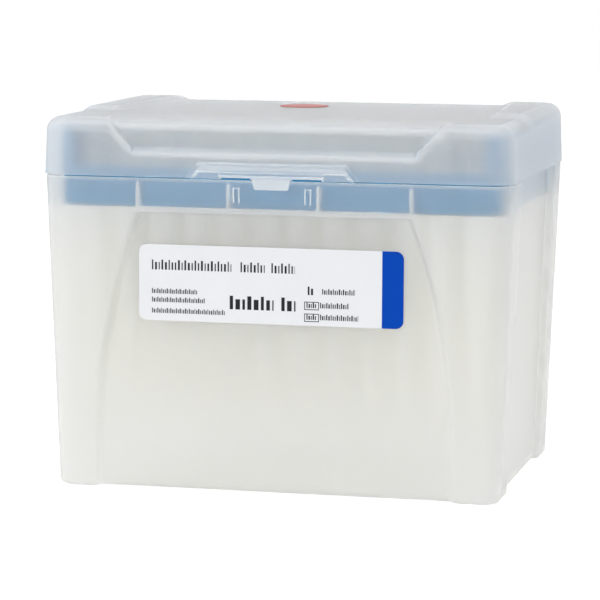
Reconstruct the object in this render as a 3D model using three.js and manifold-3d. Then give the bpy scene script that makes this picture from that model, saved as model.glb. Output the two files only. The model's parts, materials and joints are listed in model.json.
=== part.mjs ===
// A hinged box of 1000 microlitre pipette tips, in millimetres, +Z up.
// A tall base with four proud corner columns carries a tip rack on a shelf inside it. The filter
// tips hang in the rack in a grid, and a low lid with a thumb latch turns on two clip hinges behind.
import * as THREE from 'three';
import { mergeVertices } from 'three/addons/utils/BufferGeometryUtils.js';
import Module from 'manifold-3d';

const wasm = await Module();
wasm.setup();

// Grid of tips
const pitch = 9;
const columns = 12;
const rows = 8;

// Walls and fits
const wall = 1.2; // base, lid and rack
const fitGap = 0.3; // between pieces that lie beside each other
const seatGap = 0.1; // between a filter and its tip

// Base
const baseHeight = 80;
const endMargin = 11.05; // axis of the outermost tip to the rim, at the ends
const longMargin = 11.35; // the same at the front and back
const rimRadius = 6;
const footRadius = 5;
const endLean = 3; // how far each end leans out from foot to rim
const longLean = 2.15; // the same for the front and back
const footRound = 1.6; // rounding of the lowest edge
const floorLift = 0.6; // the floor stands clear of the table between the feet
const footStrip = 9.85; // width of the strip that stands on the table at each end
const stripSlope = 3.1; // slope from that strip up to the floor
const shelfDrop = 7.5; // rim to the ledge that the rack stands on

// Arched panel in the front and the back of the base
const panelDepth = 2.85; // below the rim's face
const columnFoot = 10.35; // width of a corner column at the foot, beside the arch
const archLean = 11.2; // how far the arch has closed in at its top
const archPower = 2.5; // how late it closes in
const archSlope = 2.4; // width of the arch's slanting edge

// Panel in each end of the base
const endPanelDepth = 2.1; // below the rim's face
const endPanelLean = 2.5; // how far the panel leans in towards the foot
const endPanelHalf = 26.5; // half its width
const endPanelSlope = 1; // width of its slanting edges
const tongueSlot = 0.5; // slots that free the top of each end panel as a tongue

// Webs between rim and rack, and small staples on the front of the rim
const webPlaces = [11.6, 35.2]; // distances from the middle
const webThickness = 0.8;
const webHeight = 6.3;
const stapleX = 9.2;
const stapleBottom = 5.5; // below the rim
const stapleHeight = 3.6;
const stapleWidth = 1.4;
const stapleLine = 0.45;
const stapleProud = 0.25;

// Lid
const lidRoom = 1.1; // over the tips, up to the lid's inner face
const lidOverhang = 0.3; // beyond the rim
const lidLean = 0.4; // how far its walls lean in
const lidRound = 3.8; // rounding of the top edge
const padRise = 1; // raised ends of the lid
const padLength = 14.2; // of each raised end at the back, without its ramp
const padTaper = 4.5; // this much shorter at the front
const padRamp = 3.5;
const padFront = 8; // the raised ends start this far in front of the middle
const padSlope = 4; // length of their slope at the front, for each unit of height

// Window and thumb scoop in the lid
const windowDepth = 1.65; // below the lid's face at its foot
const windowFoot = 36.2; // half its width at its lower edge
const windowSpread = 0.84; // widening for each unit of height
const windowSill = 7.5; // lower edge above the lid's edge
const jambFoot = 0.5; // slant of the window's sides at the sill, for each unit of depth
const jambHead = 1.8; // the same at the scoop
const sillSlope = 1.5; // height of the slanting sill
const scoopDrop = 1.2; // lid's top down to the scoop's front edge
const scoopLength = 13.4; // from the window back over the top
const scoopSpread = 2; // its widening for each unit of height

// Latch on the lid
const latchHalf = 21; // half its width at the lower edge
const latchTaper = 0.82; // narrowing for each unit of height
const latchStep = 0.3; // each ridge stands this much proud of the one above
const ridgeHeights = [0.9, 0.9, 1.3]; // from the lower edge up
const plateBorder = 1.3; // plate behind the ridges, beyond them at each end
const plateHeight = 4;
const pocketInner = 13.5; // pockets beside the ridges, from the middle
const pocketOuter = 20;
const pocketHeight = 1.7;
const pocketDepth = 0.6;
const tabHalf = 4.95; // tab that hangs over the rim
const tabTaper = 0.6;
const tabDrop = 2.5;
const tabThickness = 0.9;
const gripHalf = 13; // the lid's edge is lifted beside the tab
const gripLift = 0.35;

// Hinges
const hingePlaces = [-30, 30];
const pinRadius = 1.2;
const knuckleRadius = 2.5;
const knuckleWidth = 10;
const earWidth = 2.2;
const earFoot = 6.5; // below the rim
const clipMouth = 1.9; // narrower than the pin, so that it snaps on
const heelRadius = 3.3; // meets the base when the lid is fully open
const heelAngles = [-32, -47]; // from straight back, downwards

// Rack
const rackInset = 2.2; // rim's inner face to the rack, at the front and back
const rackRadius = 3.5;
const deckRise = 2.3; // top of the deck above the rim
const earDrop = 0.1; // tops of the tips to the end walls' tops
const earReturn = 4.15; // how far the end walls turn round the corners

// Tips and filters
const collarHeight = 10.3; // above the deck
const tipLength = 77.6;
const collarRadius = 4.15;
const shankRadius = 3.5; // just under the collar
const waistRadius = 2.55;
const waistHeight = 33; // above the point
const pointRadius = 0.5;
const mouthRadius = 3.55;
const mouthDepth = 11; // down to the filter
const filterRadius = 3.05; // of the bore at the filter's top
const filterHeight = 6;
const waistBore = 2;
const pointBore = 0.25;
const tipSides = 8;
const innerTipSides = 6;

// Stickers
const labelSize = [68.5, 19.4];
const labelX = -1.05; // its middle
const labelDrop = 8.3; // top of the arch to the label's upper edge
const labelRadius = 2;
const dotRadius = 6.5;
const dotPlace = [-6.3, 18.4];
const stickerThickness = 0.15;

// Places worked out from the sizes above
const rimHalfX = (columns - 1) * pitch / 2 + endMargin;
const rimHalfY = (rows - 1) * pitch / 2 + longMargin;
const shelfHeight = baseHeight - shelfDrop;
const deckTop = baseHeight + deckRise;
const tipTop = deckTop + collarHeight;
const lidFoot = baseHeight + fitGap;
const lidTop = tipTop + lidRoom + wall;
const lidHeight = lidTop - lidFoot; // without the raised ends
const windowHeight = lidHeight - windowSill - scoopDrop; // from the sill up to the scoop
const lidHalfX = rimHalfX + lidOverhang;
const lidHalfY = rimHalfY + lidOverhang;
const rackHalfX = rimHalfX - endPanelDepth - wall - fitGap;
const rackHalfY = rimHalfY - wall - rackInset;
const panelY = rimHalfY - panelDepth;
const archTop = shelfHeight - wall;
const archFoot = rimHalfX - endLean - columnFoot;
const hingeY = lidHalfY + fitGap + knuckleRadius;
const hingeZ = baseHeight + fitGap / 2;
const windowY = lidHalfY - windowDepth;
const beyond = 2; // cutters reach this far past what they cut

// Closed solid from a geometry, and back
function solid(geometry) {
  geometry.deleteAttribute('normal');
  geometry.deleteAttribute('uv');
  const merged = mergeVertices(geometry, 1e-4);
  return new wasm.Manifold(new wasm.Mesh({
    numProp: 3,
    vertProperties: new Float32Array(merged.attributes.position.array),
    triVerts: new Uint32Array(merged.index.array),
  }));
}

function surface(body) {
  const { vertProperties, triVerts } = body.getMesh();
  const geometry = new THREE.BufferGeometry();
  geometry.setAttribute('position', new THREE.BufferAttribute(vertProperties, 3));
  geometry.setIndex(new THREE.BufferAttribute(triVerts, 1));
  geometry.computeVertexNormals();
  return geometry;
}

function join(bodies) {
  return bodies.reduce((sum, body) => sum.add(body));
}

// Block through levels of { z, halfX, halfY, radius }: rounded rectangles one above the other.
function loft(levels) {
  const { halfX, halfY, radius } = levels[0];
  const outline = new THREE.Shape();
  const inX = halfX - radius;
  const inY = halfY - radius;
  outline.absarc(inX, inY, radius, 0, Math.PI / 2);
  outline.absarc(-inX, inY, radius, Math.PI / 2, Math.PI);
  outline.absarc(-inX, -inY, radius, Math.PI, 1.5 * Math.PI);
  outline.absarc(inX, -inY, radius, 1.5 * Math.PI, 2 * Math.PI);
  const steps = levels.length - 1;
  const geometry = new THREE.ExtrudeGeometry(outline, {
    depth: steps, steps, bevelEnabled: false, curveSegments: 5,
  });
  const corners = geometry.attributes.position;
  for (let i = 0; i < corners.count; i++) {
    const level = levels[Math.round(corners.getZ(i))];
    const x = corners.getX(i);
    const y = corners.getY(i);
    const awayX = (Math.abs(x) - halfX) / radius;
    const awayY = (Math.abs(y) - halfY) / radius;
    corners.setXYZ(
      i,
      Math.sign(x) * (level.halfX + level.radius * awayX),
      Math.sign(y) * (level.halfY + level.radius * awayY),
      level.z,
    );
  }
  return solid(geometry);
}

// Prism of a polygon in (u, v). place gives the x, y, z of each corner at its end w = 0 or 1.
function prism(polygon, place, turn = 0) {
  const outline = new THREE.Shape(polygon.map(([u, v]) => new THREE.Vector2(u, v)));
  const geometry = new THREE.ExtrudeGeometry(outline, { depth: 1, bevelEnabled: false });
  const corners = geometry.attributes.position;
  for (let i = 0; i < corners.count; i++) {
    corners.setXYZ(i, ...place(corners.getX(i), corners.getY(i), corners.getZ(i)));
  }
  geometry.rotateZ(turn);
  return solid(geometry);
}

// Prism of a (y, z) polygon along x, from x0 to x1
function bar(polygon, x0, x1) {
  return prism(polygon, (y, z, w) => [x0 + (x1 - x0) * w, y, z]);
}

function box(x0, x1, y0, y1, z0, z1) {
  return bar([[y0, z0], [y1, z0], [y1, z1], [y0, z1]], x0, x1);
}

function lathe(profile, sides, x, y) {
  const geometry = new THREE.LatheGeometry(profile.map(([r, z]) => new THREE.Vector2(r, z)), sides);
  geometry.rotateX(Math.PI / 2);
  geometry.translate(x, y, 0);
  return solid(geometry);
}

function arc(y, z, radius, from, to, steps) {
  return Array.from({ length: steps + 1 }, (_, i) => {
    const angle = THREE.MathUtils.degToRad(from + (to - from) * i / steps);
    return [y + radius * Math.cos(angle), z + radius * Math.sin(angle)];
  });
}

// Base: outer skin at a height, moved inwards
function baseLevel(z, inward) {
  const rise = z / baseHeight;
  return {
    z,
    halfX: rimHalfX - endLean * (1 - rise) - inward,
    halfY: rimHalfY - longLean * (1 - rise) - inward,
    radius: footRadius + (rimRadius - footRadius) * rise - inward,
  };
}

// Volume outside the arched panel. Grown by a wall it shapes the inside.
function archCutter(grow, turn) {
  const steps = 9;
  const side = Array.from({ length: steps + 1 }, (_, i) => {
    const z = archTop * i / steps;
    const closing = archLean * (z / archTop) ** archPower;
    return [archFoot - closing - archSlope + grow, i < steps ? z : archTop + grow];
  });
  const right = [[side[0][0], -beyond], ...side];
  const left = right.map(([x, z]) => [-x, z]).reverse();
  const place = (x, z, w) => {
    const depth = baseLevel(z, 0).halfY - panelY;
    return [x + Math.sign(x) * 2 * archSlope * w, grow - panelY - 2 * depth * w, z];
  };
  return prism([...right, ...left], place, turn);
}

function endCutter(grow, turn) {
  const half = endPanelHalf + grow;
  const top = baseHeight + beyond;
  const corners = [[-half, -beyond], [half, -beyond], [half, top], [-half, top]];
  const place = (y, z, w) => {
    const panelX = rimHalfX - endPanelDepth - endPanelLean * (1 - z / baseHeight);
    const depth = baseLevel(z, 0).halfX - panelX;
    return [panelX - grow + 2 * depth * w, y + Math.sign(y) * 2 * endPanelSlope * w, z];
  };
  return prism(corners, place, turn);
}

function floorCutter() {
  const inner = rimHalfX - endLean - footStrip - stripSlope;
  const outline = [
    [-inner - 2 * stripSlope, -floorLift],
    [inner + 2 * stripSlope, -floorLift],
    [inner, floorLift],
    [-inner, floorLift],
  ];
  const reach = rimHalfY + beyond;
  return prism(outline, (x, z, w) => [x, reach * (1 - 2 * w), z]);
}

function staple(x) {
  const top = baseHeight - stapleBottom + stapleHeight;
  const half = stapleWidth / 2;
  const front = -rimHalfY - stapleProud;
  const back = -rimHalfY + wall / 2;
  return join([
    box(x - half, x + half, front, back, top - stapleLine, top),
    box(x - half, x - half + stapleLine, front, back, top - stapleHeight, top),
    box(x + half - stapleLine, x + half, front, back, top - stapleHeight, top),
  ]);
}

// Two ears on the back of the rim with the pin between them, moulded with the base
function hingeEars(x) {
  const inner = knuckleWidth / 2 + fitGap;
  const root = rimHalfY - wall / 2;
  const profile = [
    ...arc(hingeY, hingeZ, knuckleRadius, 180, -60, 12),
    [root, baseHeight - earFoot],
    [root, baseHeight],
    [hingeY - knuckleRadius, baseHeight],
  ].reverse();
  const pin = arc(hingeY, hingeZ, pinRadius, 0, 330, 11);
  return join([
    bar(profile, x - inner - earWidth, x - inner),
    bar(profile, x + inner, x + inner + earWidth),
    bar(pin, x - inner - earWidth / 2, x + inner + earWidth / 2),
  ]);
}

function makeBase() {
  const turns = [0, Math.PI];
  const foot = [0, 30, 60, 90].map((degrees) => {
    const angle = THREE.MathUtils.degToRad(degrees);
    return baseLevel(footRound * (1 - Math.cos(angle)), footRound * (1 - Math.sin(angle)));
  });
  const hollowFloor = baseLevel(floorLift + wall, wall);
  const cut = (grow) => join([
    ...turns.map((turn) => archCutter(grow, turn)),
    ...turns.map((turn) => endCutter(grow, turn)),
  ]);
  const block = loft([...foot, baseLevel(baseHeight, 0)]);
  const outside = block.subtract(cut(0)).subtract(floorCutter());
  const inside = loft([hollowFloor, baseLevel(baseHeight + beyond, wall)]).subtract(cut(wall));

  const webFront = rimHalfY - wall / 2;
  const webBack = rackHalfY + fitGap;
  const webFoot = shelfHeight - wall / 2;
  const webTop = shelfHeight + webHeight;
  const webs = turns.flatMap((turn) => [-1, 1].flatMap((side) => webPlaces.map((place) => {
    const x = side * place;
    const half = webThickness / 2;
    const corners = [[-webFront, webFoot], [-webBack, webFoot], [-webBack, webTop], [-webFront, webTop]];
    return prism(corners, (y, z, w) => [x + half * (2 * w - 1), y, z], turn);
  })));

  const slotInner = endPanelHalf - tongueSlot;
  const slotBack = rimHalfX - endPanelDepth - wall - beyond;
  const slotFront = rimHalfX - endPanelDepth + fitGap;
  const slot = box(slotBack, slotFront, slotInner, endPanelHalf, shelfHeight, baseHeight + beyond);
  const slots = slot.add(slot.mirror([0, 1, 0]));

  return join([
    outside.subtract(inside).subtract(slots).subtract(slots.mirror([1, 0, 0])),
    ...webs,
    ...[-stapleX, stapleX].map(staple),
    ...hingePlaces.map(hingeEars),
  ]);
}

// Lid: levels of its skin, inset by a wall for the inside, raised for the ends
function lidLevels(inward, rise) {
  const shoulder = lidHeight - lidRound;
  const round = lidRound - inward;
  const level = (height, further) => ({
    z: lidFoot + height,
    halfX: lidHalfX - lidLean * Math.min(height / shoulder, 1) - inward - further,
    halfY: lidHalfY - lidLean * Math.min(height / shoulder, 1) - inward - further,
    radius: rimRadius + lidOverhang - inward - further,
  });
  const bend = [0, 22.5, 45, 67.5, 90].map((degrees) => {
    const angle = THREE.MathUtils.degToRad(degrees);
    return level(shoulder + rise + round * Math.sin(angle), round * (1 - Math.cos(angle)));
  });
  return [level(inward > 0 ? -beyond : 0, 0), ...bend];
}

function padRegion(grow) {
  const outer = lidHalfX + beyond;
  const inner = lidHalfX - padLength + grow;
  const top = lidTop + padRise;
  const foot = lidTop - lidRound;
  const corners = [
    [inner - padRamp, foot],
    [outer, foot],
    [outer, top + beyond],
    [inner + padRamp * beyond / padRise, top + beyond],
    [inner - padRamp, lidTop - grow],
  ];
  const back = lidHalfY + beyond;
  const region = prism(corners, (x, z, w) => {
    const front = grow - padFront - padSlope * (top - z);
    return [x + padTaper * w, back + (front - back) * w, z];
  });
  return region.add(region.mirror([1, 0, 0]));
}

// Volume outside the window and the thumb scoop
function windowCutter(grow) {
  const sill = lidFoot + windowSill;
  const brow = sill + windowHeight;
  const inside = grow - windowY;
  const half = (y, z) => {
    const rise = z - sill + grow;
    const slant = jambFoot + (jambHead - jambFoot) * rise / windowHeight;
    return windowFoot + grow + rise * windowSpread + (inside - y) * slant;
  };
  const window = [
    [inside - 2 * windowDepth, sill - grow - 2 * sillSlope],
    [inside, sill - grow],
    [inside, brow + beyond],
    [inside - 2 * windowDepth, brow + beyond],
  ];
  const scoop = [
    [inside - beyond, brow - grow],
    [inside, brow - grow],
    [inside + scoopLength, lidTop - grow],
    [inside + scoopLength, lidTop + scoopDrop],
    [inside - beyond, lidTop + scoopDrop],
  ];
  const across = windowFoot + grow + windowHeight * windowSpread;
  return join([
    prism(window, (y, z, w) => [half(y, z) * (2 * w - 1), y, z]),
    prism(scoop, (y, z, w) => [(across + (z - brow + grow) * scoopSpread) * (2 * w - 1), y, z]),
  ]);
}

function latch() {
  const face = -lidHalfY;
  const root = face + wall / 2;
  const count = ridgeHeights.length;
  const proud = face - latchStep * (count + 1);
  const steps = [];
  let z = lidFoot;
  ridgeHeights.forEach((height, i) => {
    const y = proud + latchStep * i;
    steps.push([y, z], [y, z + height]);
    z += height;
  });
  const trapezoid = (profile, half) => prism(profile, (y, height, w) => {
    const across = half - (height - lidFoot) * latchTaper;
    return [across * (2 * w - 1), y, height];
  });
  const plateTop = lidFoot + plateHeight;
  const plateFace = face - latchStep;
  const plate = [[plateFace, lidFoot], [root, lidFoot], [root, plateTop], [plateFace, plateTop]];
  const front = trapezoid([[root, lidFoot], [root, z], ...steps.reverse()], latchHalf)
    .add(trapezoid(plate, latchHalf + plateBorder));

  const pocketTop = lidFoot + pocketHeight;
  const pocketBack = proud + pocketDepth;
  const pocketFoot = lidFoot - beyond;
  const opening = [
    [proud - beyond, pocketFoot],
    [pocketBack, pocketFoot],
    [pocketBack, pocketTop],
    [proud - beyond, pocketTop],
  ];
  const pocket = prism(opening, (y, height, w) => {
    const outer = pocketOuter - (height - lidFoot) * latchTaper;
    return [pocketInner + (outer - pocketInner) * w, y, height];
  });

  const grip = box(tabHalf + fitGap, gripHalf, proud - beyond, root + wall, pocketFoot, lidFoot + gripLift);
  const both = (body) => body.add(body.mirror([1, 0, 0]));

  const tabTop = lidFoot + ridgeHeights[0];
  const tabFoot = lidFoot - tabDrop;
  const tabFace = face - tabThickness;
  const tabSection = [[tabFace, tabFoot], [face, tabFoot], [face, tabTop], [tabFace, tabTop]];
  const tab = prism(tabSection, (y, height, w) => {
    const across = tabHalf - tabTaper * (tabTop - height) / (tabTop - tabFoot);
    return [across * (2 * w - 1), y, height];
  });
  return { front: front.subtract(both(pocket)), grips: both(grip), tab };
}

// Clip on the back of the lid that snaps onto the pin, with a heel that stops the lid
function hingeClip(x) {
  const half = knuckleWidth / 2;
  const root = lidHalfY - wall / 2;
  const ring = arc(hingeY, hingeZ, knuckleRadius, 0, 345, 23);
  const arm = [
    [root, lidFoot],
    [hingeY, lidFoot],
    [hingeY, hingeZ + knuckleRadius],
    [root, hingeZ + knuckleRadius],
  ];
  const heel = [[hingeY, hingeZ], ...arc(hingeY, hingeZ, heelRadius, heelAngles[1], heelAngles[0], 2)];
  const bore = arc(hingeY, hingeZ, pinRadius + fitGap, 0, 345, 23);
  const mouth = [
    [hingeY, hingeZ - clipMouth / 2],
    [hingeY + 2 * knuckleRadius, hingeZ - clipMouth / 2],
    [hingeY + 2 * knuckleRadius, hingeZ + clipMouth / 2],
    [hingeY, hingeZ + clipMouth / 2],
  ];
  const body = join([ring, arm, heel].map((profile) => bar(profile, x - half, x + half)));
  const hollow = join([bore, mouth].map((profile) => bar(profile, x - half - beyond, x + half + beyond)));
  return body.subtract(hollow);
}

function makeLid() {
  const skin = (inward) => {
    const pads = loft(lidLevels(inward, padRise)).intersect(padRegion(inward));
    return loft(lidLevels(inward, 0)).add(pads).subtract(windowCutter(inward));
  };
  const shell = skin(0).subtract(skin(wall));
  const { front, grips, tab } = latch();
  return join([shell.add(front).subtract(grips), tab, ...hingePlaces.map(hingeClip)]);
}

// Rack: a skirt that follows the inside of the base, a deck, and end walls to lift it by
function rackLevels(inward, z0, z1) {
  return [z0, z1].map((z) => ({
    z, halfX: rackHalfX - inward, halfY: rackHalfY - inward, radius: rackRadius - inward,
  }));
}

function tipBore(sides, x, y) {
  const foot = tipTop - tipLength;
  const waist = foot + waistHeight;
  const seat = tipTop - mouthDepth;
  const plugFoot = seat - filterHeight;
  const plugRadius = waistBore + (filterRadius - waistBore) * (plugFoot - waist) / (seat - waist);
  const mouthSlope = (mouthRadius - filterRadius) / mouthDepth;
  const mouth = [[0, seat], [filterRadius, seat], [mouthRadius + mouthSlope, tipTop + 1], [0, tipTop + 1]];
  const lower = [
    [0, foot - 1], [pointBore, foot - 1], [pointBore, foot], [waistBore, waist], [plugRadius, plugFoot],
    [0, plugFoot],
  ];
  return [lathe(mouth, sides, x, y), lathe(lower, sides, x, y)];
}

function tipProfile() {
  const foot = tipTop - tipLength;
  return [
    [pointRadius, foot],
    [waistRadius, foot + waistHeight],
    [shankRadius, deckTop],
    [collarRadius, deckTop],
    [collarRadius, tipTop],
  ];
}

function makeTip(x, y) {
  const foot = tipTop - tipLength;
  const inside = [
    [mouthRadius, tipTop],
    [filterRadius, tipTop - mouthDepth],
    [waistBore, foot + waistHeight],
    [pointBore, foot],
  ];
  const outside = tipProfile();
  return lathe([...outside, ...inside, outside[0]], tipSides, x, y);
}

function makeFilter(x, y) {
  const top = tipTop - mouthDepth;
  const waist = tipTop - tipLength + waistHeight;
  const slope = (filterRadius - waistBore) / (top - waist);
  const radius = filterRadius - seatGap;
  const foot = top - filterHeight;
  const profile = [[0, foot], [radius - slope * filterHeight, foot], [radius, top], [0, top]];
  return lathe(profile, tipSides, x, y);
}

const tipColumns = Array.from({ length: columns }, (_, column) => column);
const tipX = (column) => (column - (columns - 1) / 2) * pitch;
const tipY = (row) => (row - (rows - 1) / 2) * pitch;

function rackHoles(row) {
  const radius = shankRadius + fitGap;
  const foot = deckTop - wall - beyond;
  const top = deckTop + beyond;
  const hole = [[0, foot], [radius, foot], [radius, top], [0, top]];
  return join(tipColumns.map((column) => lathe(hole, tipSides, tipX(column), tipY(row))));
}

// The inner rows' strips of the deck lie side by side in the room inside its border
const deckHalfX = columns * pitch / 2;
const deckHalfY = (rows / 2 - 1) * pitch;

// The rack's frame: skirt, border of the deck with the outer rows' holes, and end walls
function makeRack() {
  const earTop = tipTop - earDrop;
  const deckFoot = deckTop - wall;
  const skirt = loft(rackLevels(0, shelfHeight, deckTop));
  const hollow = loft(rackLevels(wall, shelfHeight - beyond, deckFoot));
  const outer = loft(rackLevels(0, deckFoot, earTop));
  const inner = loft(rackLevels(wall, deckFoot - beyond, earTop + beyond));
  const open = rackHalfX - earReturn;
  const middle = box(-open, open, -rimHalfY, rimHalfY, deckTop - wall / 2, earTop + beyond);
  const room = box(-deckHalfX, deckHalfX, -deckHalfY, deckHalfY, deckFoot - beyond, deckTop + beyond);
  const walls = outer.subtract(inner).subtract(middle);
  return join([skirt.subtract(hollow), walls]).subtract(join([room, rackHoles(0), rackHoles(rows - 1)]));
}

// One of the six inner rows: its tips, with their filters, on their strip of the rack's deck
function makeRow(row) {
  const y = tipY(row);
  const strip = box(-deckHalfX, deckHalfX, y - pitch / 2, y + pitch / 2, deckTop - wall, deckTop);
  const profile = tipProfile();
  const stem = [[0, profile[0][1]], ...profile, [0, tipTop]];
  const stems = tipColumns.map((column) => lathe(stem, innerTipSides, tipX(column), y));
  const bores = tipColumns.flatMap((column) => tipBore(innerTipSides, tipX(column), y));
  return join([strip, ...stems]).subtract(join(bores));
}

function makeLabel() {
  const [width, height] = labelSize;
  const z = archTop - labelDrop - height / 2;
  const half = { halfX: width / 2, halfY: height / 2, radius: labelRadius };
  const geometry = surface(loft([{ z: 0, ...half }, { z: stickerThickness, ...half }]));
  geometry.rotateX(Math.PI / 2);
  geometry.translate(labelX, -panelY, z);
  return solid(geometry);
}

function makeDot() {
  const top = lidTop + stickerThickness;
  const profile = [[0, lidTop], [dotRadius, lidTop], [dotRadius, top], [0, top]];
  return lathe(profile, 32, ...dotPlace);
}

const finishes = {
  natural: { color: 0xdfe2e2, roughness: 0.4, metalness: 0 },
  blue: { color: 0x5f9cc8, roughness: 0.4, metalness: 0 },
  porous: { color: 0xf4f4f0, roughness: 0.9, metalness: 0 },
  paper: { color: 0xf0f1f3, roughness: 0.5, metalness: 0 },
  red: { color: 0xc98a88, roughness: 0.5, metalness: 0 },
};

const model = new THREE.Group();

function addPiece(name, body, finish) {
  const mesh = new THREE.Mesh(surface(body), new THREE.MeshStandardMaterial(finishes[finish]));
  mesh.name = name;
  model.add(mesh);
}

addPiece('base', makeBase(), 'natural');
addPiece('tip_rack', makeRack(), 'blue');
addPiece('lid', makeLid(), 'natural');
addPiece('label', makeLabel(), 'paper');
addPiece('indicator_dot', makeDot(), 'red');
const tipRows = { front: 0, back: rows - 1 };
for (const [place, row] of Object.entries(tipRows)) {
  for (const column of tipColumns) {
    const number = String(column + 1).padStart(2, '0');
    addPiece(`tip_${place}_${number}`, makeTip(tipX(column), tipY(row)), 'natural');
    addPiece(`filter_${place}_${number}`, makeFilter(tipX(column), tipY(row)), 'porous');
  }
}

for (let row = 1; row < rows - 1; row++) addPiece(`tips_row_${row + 1}`, makeRow(row), 'natural');

// The frame's origin is the middle of the whole box at its foot, hinges and latch included.
const extent = new THREE.Box3().setFromObject(model);
model.position.y = -(extent.min.y + extent.max.y) / 2;

export default model;
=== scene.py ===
# Looks of a hinged box of pipette tips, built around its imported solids.
import json

import bmesh
import bpy
import numpy as np
from mathutils import Matrix, Vector


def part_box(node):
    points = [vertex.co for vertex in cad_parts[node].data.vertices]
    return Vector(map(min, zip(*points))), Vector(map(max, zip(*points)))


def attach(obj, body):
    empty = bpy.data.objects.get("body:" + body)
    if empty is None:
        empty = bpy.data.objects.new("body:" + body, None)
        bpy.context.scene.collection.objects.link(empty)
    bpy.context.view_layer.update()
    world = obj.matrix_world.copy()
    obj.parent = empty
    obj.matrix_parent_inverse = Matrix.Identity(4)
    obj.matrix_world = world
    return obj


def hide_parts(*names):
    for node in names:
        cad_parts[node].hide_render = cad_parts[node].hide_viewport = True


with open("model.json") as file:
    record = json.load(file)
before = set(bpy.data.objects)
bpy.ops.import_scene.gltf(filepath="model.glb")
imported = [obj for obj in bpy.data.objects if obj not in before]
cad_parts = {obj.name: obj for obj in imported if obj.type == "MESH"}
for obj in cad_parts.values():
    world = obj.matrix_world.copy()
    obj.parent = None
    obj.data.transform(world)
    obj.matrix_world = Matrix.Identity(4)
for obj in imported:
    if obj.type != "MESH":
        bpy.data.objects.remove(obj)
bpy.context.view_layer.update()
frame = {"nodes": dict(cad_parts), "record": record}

# Lengths below are in millimetres, and y is counted from the middle of the tips' grid, because latch and
# hinges put the frame's origin a little beside it.
middleY = (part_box("tip_front_01")[0].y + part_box("tip_back_12")[1].y) / 2 * 1000


def fromFrame(place):
    # A place in the frame, in metres, as one in millimetres from the middle of the grid.
    return np.round(np.array(place) * 1000 - (0, middleY, 0), 3)


def solidBox(node):
    # A node's lowest and highest corners.
    return [fromFrame(corner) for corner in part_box(node)]


# Sizes and places that several pieces share.
wall = 1.2
fitGap = 0.3  # between lid and rim, and between clip and pin
rackLow, rackHigh = solidBox("tip_rack")
tipLow, tipHigh = solidBox("tip_front_01")
labelLow, labelHigh = solidBox("label")
rimZ = 80
rimHalf = np.array([solidBox("base")[1][0], rackHigh[1] + 2.2 + wall])  # the rack hangs 2.2 inside the wall
lidFoot = rimZ + fitGap
lidHalf = rimHalf + fitGap
hingeY, hingeZ = fromFrame(frame["record"]["behaviour"]["joints"][0]["pos_m"])[1:]
deckZ = 82.3  # top of the rack's deck
pitch = 9
gridHalf = (12 * pitch / 2, 8 * pitch / 2)
tipX, tipY = np.meshgrid((np.arange(12) - 5.5) * pitch, (np.arange(8) - 3.5) * pitch)
tipPlaces = np.column_stack([tipX.ravel(), tipY.ravel(), np.zeros(tipX.size)])


def smooth(t):
    # 0 to 1 with a level start and end: 3 t squared less 2 t cubed.
    t = np.clip(t, 0, 1)
    return t * t * (3 - 2 * t)


def gridFaces(rings, columns):
    # Quads between neighbouring rings and columns; the last column joins the first one.
    i, j = np.meshgrid(np.arange(rings - 1), np.arange(columns), indexing="ij")
    k = (j + 1) % columns
    quads = np.stack([i * columns + j, i * columns + k, (i + 1) * columns + k, (i + 1) * columns + j], -1)
    return quads.reshape(-1, 4)


def signedVolume(points, faces):
    # Six times the volume inside: the triple product of each triangle's corners, summed over all faces.
    total = 0.0
    for face in faces:
        a = points[face[:, 0]]
        for n in range(1, face.shape[1] - 1):
            total += np.einsum("ij,ij->", a, np.cross(points[face[:, n]], points[face[:, n + 1]]))
    return total


def closedPart(points, *faces):
    # Points and face arrays of one closed skin, turned so that its faces point outwards.
    points = np.asarray(points, float).reshape(-1, 3)
    faces = [np.asarray(f) for f in faces if len(f)]
    if signedVolume(points, faces) < 0:
        faces = [f[:, ::-1] for f in faces]
    return points, faces


def repeat(part, offsets):
    # Copies of a part, one at each offset.
    points, faces = part
    offsets = np.asarray(offsets, float)
    count = len(points)
    many = (points[None] + offsets[:, None]).reshape(-1, 3)
    step = (np.arange(len(offsets)) * count)[:, None, None]
    return many, [(f[None] + step).reshape(-1, f.shape[1]) for f in faces]


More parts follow.
